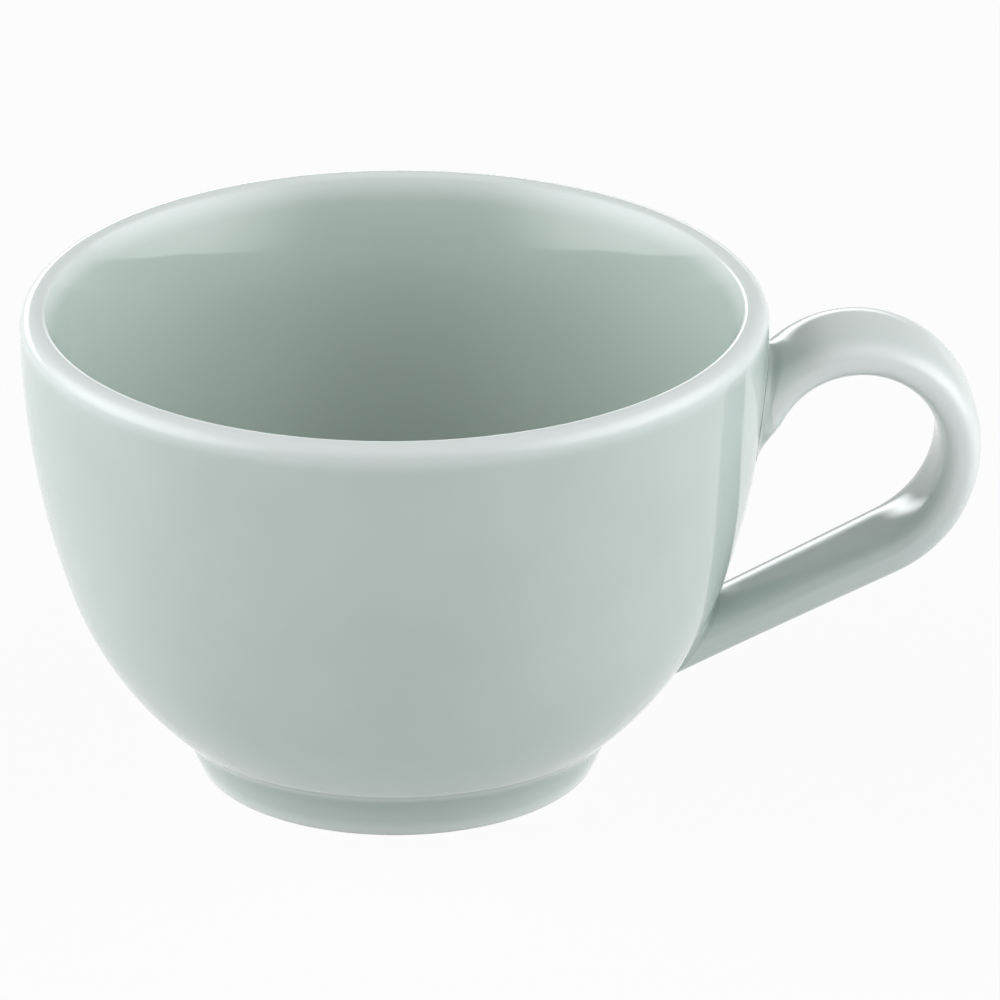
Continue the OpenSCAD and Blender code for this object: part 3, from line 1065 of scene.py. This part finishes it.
def light_tent():
    """A white world for the camera. Matt surfaces are lit by its walls more than by its top, and
    reflections see it open on the camera's side."""
    world = bpy.data.worlds.new("Light Tent")
    world.use_nodes = True
    tree = world.node_tree
    tree.nodes.clear()
    path = add_node(tree, "ShaderNodeLightPath").outputs
    way = add_node(tree, "ShaderNodeTexCoord").outputs["Generated"]
    split = add_node(tree, "ShaderNodeSeparateXYZ", {"Vector": way}).outputs
    ends = {
        "Value": split["Z"],
        "From Min": TOP_FROM_SHARE,
        "To Min": WALL_GLOW,
        "To Max": TOP_GLOW,
    }
    glow = add_node(tree, "ShaderNodeMapRange", ends, interpolation_type="SMOOTHSTEP")
    ends = {
        "Value": split["Y"],
        "From Min": OPEN_SHARES[0],
        "From Max": OPEN_SHARES[1],
        "To Min": OPEN_GLOW,
    }
    shine = add_node(tree, "ShaderNodeMapRange", ends, interpolation_type="SMOOTHSTEP")
    unseen = add_node(
        tree,
        "ShaderNodeMix",
        {
            "Factor": path["Is Glossy Ray"],
            "A": glow.outputs["Result"],
            "B": shine.outputs["Result"],
        },
    )
    strength = add_node(
        tree,
        "ShaderNodeMix",
        {"Factor": path["Is Camera Ray"], "A": unseen.outputs["Result"], "B": 1},
    )
    white = add_node(tree, "ShaderNodeBackground", {"Strength": strength.outputs["Result"]})
    add_node(tree, "ShaderNodeOutputWorld", {"Surface": white.outputs["Background"]})
    return world


def add_soft_box(settings, name, azimuth, elevation, width, height, radiance, lights):
    """Adds an area lamp that faces the cup's middle."""
    a = math.radians(azimuth) - HANDLE_AWAY
    e = math.radians(elevation)
    back = Vector((math.sin(a) * math.cos(e), -math.cos(a) * math.cos(e), math.sin(e)))
    place = Vector((0, 0, AXIS_HEIGHT)) + SOFT_BOX_DISTANCE * back
    bpy.ops.object.light_add(type="AREA", location=place)
    lamp = bpy.context.object
    lamp.name = lamp.data.name = name
    lamp.data.shape = "RECTANGLE"
    lamp.data.size, lamp.data.size_y = width, height
    lamp.data.energy = settings.lamps * radiance * math.pi * width * height
    fade_to_edge(lamp.data, settings.cloth)
    lamp.rotation_mode = "QUATERNION"
    lamp.rotation_quaternion = back.to_track_quat("Z", "Y")
    lamp.visible_diffuse = lights


def add_camera(scene):
    """Adds the camera where the one that took the cup stood."""
    place, right, up, backward = camera_place()
    data = bpy.data.cameras.new("camera")
    data.lens = PIXELS_PER_METRE * CAMERA_DISTANCE / IMAGE_SIDE * data.sensor_width
    data.clip_start, data.clip_end = CAMERA_CLIP
    camera = bpy.data.objects.new("camera", data)
    scene.collection.objects.link(camera)
    turned = Matrix((right, up, backward)).transposed()
    camera.matrix_world = Matrix.Translation(place) @ turned.to_4x4()
    scene.camera = camera


class CUP_OT_stage(bpy.types.Operator):
    """Set up the floor, the soft boxes, the world and the camera"""

    bl_idname = "cup.stage"
    bl_label = "Stage"
    bl_options = {"REGISTER", "UNDO"}

    def execute(self, context):
        scene = context.scene
        settings = scene.cup.stage
        bpy.ops.object.select_all(action="DESELECT")
        bpy.ops.mesh.primitive_circle_add(
            vertices=FLOOR_SIDES, radius=FLOOR_RADIUS, fill_type="NGON"
        )
        floor = context.object
        floor.name = floor.data.name = "floor"
        floor.data.materials.append(paper_floor(settings))
        scene.world = light_tent()
        for soft_box in SOFT_BOXES:
            add_soft_box(settings, *soft_box)
        add_camera(scene)
        scene.view_settings.view_transform = "Standard"
        return {"FINISHED"}


class CUP_PT_panel(bpy.types.Panel):
    """Lists the cup's operators and settings"""

    bl_idname = "CUP_PT_panel"
    bl_label = "Glazed Cup"
    bl_space_type = "VIEW_3D"
    bl_region_type = "UI"
    bl_category = "Cup"

    def draw(self, context):
        settings = context.scene.cup
        for operator, groups in STEPS:
            box = self.layout.box()
            box.operator(operator.bl_idname)
            for group_name in groups:
                part = getattr(settings, group_name)
                for name in part.bl_rna.properties.keys():
                    if name not in ("rna_type", "name"):
                        box.prop(part, name)


# The operators in the order in which they run, and the settings shown with each
STEPS = [
    (CUP_OT_bowl, ["bowl"]),
    (CUP_OT_foot_ring, ["foot"]),
    (CUP_OT_handle, ["handle"]),
    (CUP_OT_slip_joints, ["slip"]),
    (CUP_OT_stage, ["colours", "stage"]),
]

CLASSES = [
    CupBowlSizes,
    CupFootSizes,
    CupHandleSizes,
    CupSlipSizes,
    CupColours,
    CupStageSettings,
    CupSettings,
    *(operator for operator, _ in STEPS),
    CUP_PT_panel,
]


def register():
    for cls in CLASSES:
        bpy.utils.register_class(cls)
    bpy.types.Scene.cup = bpy.props.PointerProperty(type=CupSettings)


def unregister():
    del bpy.types.Scene.cup
    for cls in reversed(CLASSES):
        bpy.utils.unregister_class(cls)


def main():
    register()
    bpy.ops.cup.bowl()
    bpy.ops.cup.foot_ring()
    bpy.ops.cup.handle()
    bpy.ops.cup.slip_joints()
    bpy.ops.cup.stage()


if __name__ == "__main__":
    main()
